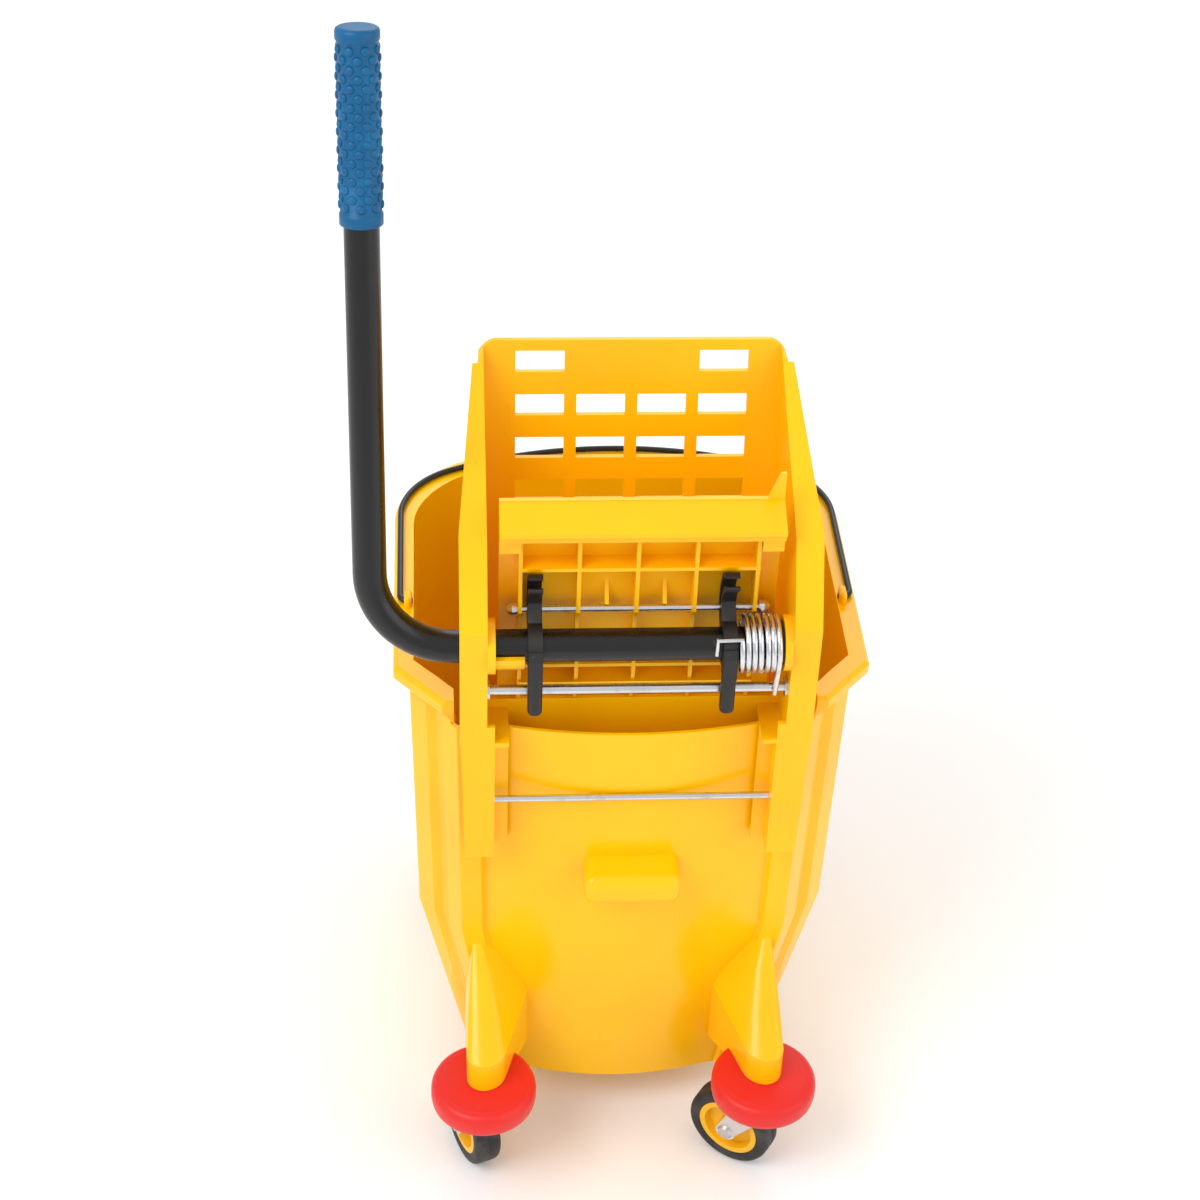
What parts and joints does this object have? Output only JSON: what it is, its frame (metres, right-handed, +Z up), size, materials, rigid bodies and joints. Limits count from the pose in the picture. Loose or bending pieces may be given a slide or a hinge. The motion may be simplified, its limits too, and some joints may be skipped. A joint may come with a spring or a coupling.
{
  "type": "mop bucket with wringer",
  "caption": "Wheeled mop bucket with a lift-off side-press wringer, cranked hand lever with ribbed press plate, wire bail and swivel casters under round bumpers.",
  "frame": {"origin": "centre of the whole object's bounding box, on the floor that the wheels stand on", "axes": "+Z up, +X across the bucket towards the side without the lever, +Y from the wringer end to the pouring end"},
  "size_m": [0.4044, 0.481, 0.985],
  "materials": {
    "bucket_yellow": "glossy moulded polypropylene",
    "wringer_yellow": "glossy moulded polypropylene",
    "bumper_red": "soft satin vinyl",
    "caster_zinc": "zinc plated pressed steel",
    "axle_steel": "plated steel",
    "hub_yellow": "moulded plastic",
    "tyre_black": "grey-black rubber tread",
    "rod_steel": "bright plated steel",
    "spring_steel": "bright plated spring wire",
    "lever_black": "satin black powder coat",
    "arm_black": "matte black casting",
    "grip_blue": "soft moulded grip",
    "bush_black": "moulded nylon",
    "bail_black": "black coated wire"
  },
  "bodies": {
    "bucket": {"bucket_body": "bucket_yellow", "bumper_rear_left": "bumper_red", "bumper_rear_right": "bumper_red", "bumper_front_left": "bumper_red", "bumper_front_right": "bumper_red"},
    "bail": {"bail_handle": "bail_black"},
    "swivel_rear_left": {"caster_stem_rear_left": "caster_zinc", "caster_fork_rear_left": "caster_zinc", "axle_rear_left": "axle_steel"},
    "wheel_rear_left": {"wheel_hub_rear_left": "hub_yellow", "tyre_rear_left": "tyre_black"},
    "swivel_rear_right": {"caster_stem_rear_right": "caster_zinc", "caster_fork_rear_right": "caster_zinc", "axle_rear_right": "axle_steel"},
    "wheel_rear_right": {"wheel_hub_rear_right": "hub_yellow", "tyre_rear_right": "tyre_black"},
    "swivel_front_left": {"caster_stem_front_left": "caster_zinc", "caster_fork_front_left": "caster_zinc", "axle_front_left": "axle_steel"},
    "wheel_front_left": {"wheel_hub_front_left": "hub_yellow", "tyre_front_left": "tyre_black"},
    "swivel_front_right": {"caster_stem_front_right": "caster_zinc", "caster_fork_front_right": "caster_zinc", "axle_front_right": "axle_steel"},
    "wheel_front_right": {"wheel_hub_front_right": "hub_yellow", "tyre_front_right": "tyre_black"},
    "wringer": {"wringer_housing": "wringer_yellow", "stop_rod": "rod_steel", "stop_washer_left": "rod_steel", "stop_washer_right": "rod_steel", "stay_rod": "rod_steel", "stay_nut_left": "rod_steel", "stay_nut_right": "rod_steel", "plate_hinge_rod": "rod_steel", "shaft_bush_left": "bush_black", "shaft_bush_right": "bush_black", "return_spring_frame_half": "spring_steel"},
    "lever": {"lever_tube": "lever_black", "lever_grip": "grip_blue", "crank_arm_left": "arm_black", "crank_arm_right": "arm_black", "return_spring_lever_half": "spring_steel"},
    "press": {"press_plate": "wringer_yellow", "plate_pin_rod": "rod_steel", "pin_nut_left": "rod_steel", "pin_nut_right": "rod_steel"}
  },
  "joints": [
    {"name": "wringer_lift", "type": "slide", "parent": "bucket", "child": "wringer", "axis": [0, 0, 1], "range_m": [0, 0.36]},
    {"name": "lever_swing", "type": "hinge", "parent": "wringer", "child": "lever", "pos_m": [0.0152, -0.13, 0.525], "axis": [-1, 0, 0], "range_deg": [0, 64], "stiffness_Nm_per_rad": 1.6, "springref_deg": -34.38},
    {"name": "press_swing", "type": "hinge", "parent": "wringer", "child": "press", "pos_m": [0.0152, -0.09, 0.398], "axis": [-1, 0, 0], "range_deg": [0, 11.52]},
    {"name": "bail_swing", "type": "hinge", "parent": "bucket", "child": "bail", "pos_m": [0.0152, -0.01, 0.4752], "axis": [1, 0, 0], "range_deg": [0, 70]},
    {"name": "swivel_rear_left", "type": "hinge", "parent": "bucket", "child": "swivel_rear_left", "pos_m": [-0.1024, -0.1966, 0.086], "axis": [0, 0, 1], "continuous": true},
    {"name": "spin_rear_left", "type": "hinge", "parent": "swivel_rear_left", "child": "wheel_rear_left", "pos_m": [-0.11139, -0.17435, 0.038], "axis": [-0.9272, -0.3746, 0], "continuous": true},
    {"name": "swivel_rear_right", "type": "hinge", "parent": "bucket", "child": "swivel_rear_right", "pos_m": [0.1328, -0.1966, 0.086], "axis": [0, 0, 1], "continuous": true},
    {"name": "spin_rear_right", "type": "hinge", "parent": "swivel_rear_right", "child": "wheel_rear_right", "pos_m": [0.11314, -0.18283, 0.038], "axis": [-0.5736, -0.8192, 0], "continuous": true},
    {"name": "swivel_front_left", "type": "hinge", "parent": "bucket", "child": "swivel_front_left", "pos_m": [-0.1024, 0.1966, 0.086], "axis": [0, 0, 1], "continuous": true},
    {"name": "spin_front_left", "type": "hinge", "parent": "swivel_front_left", "child": "wheel_front_left", "pos_m": [-0.10574, 0.17283, 0.038], "axis": [0.9903, -0.1392, 0], "continuous": true},
    {"name": "swivel_front_right", "type": "hinge", "parent": "bucket", "child": "swivel_front_right", "pos_m": [0.1328, 0.1966, 0.086], "axis": [0, 0, 1], "continuous": true},
    {"name": "spin_front_right", "type": "hinge", "parent": "swivel_front_right", "child": "wheel_front_right", "pos_m": [0.13861, 0.17331, 0.038], "axis": [0.9703, 0.2419, 0], "continuous": true}
  ],
  "couplings": [
    {"joint": "press_swing", "follows": "lever_swing", "ratio": 0.18}
  ]
}
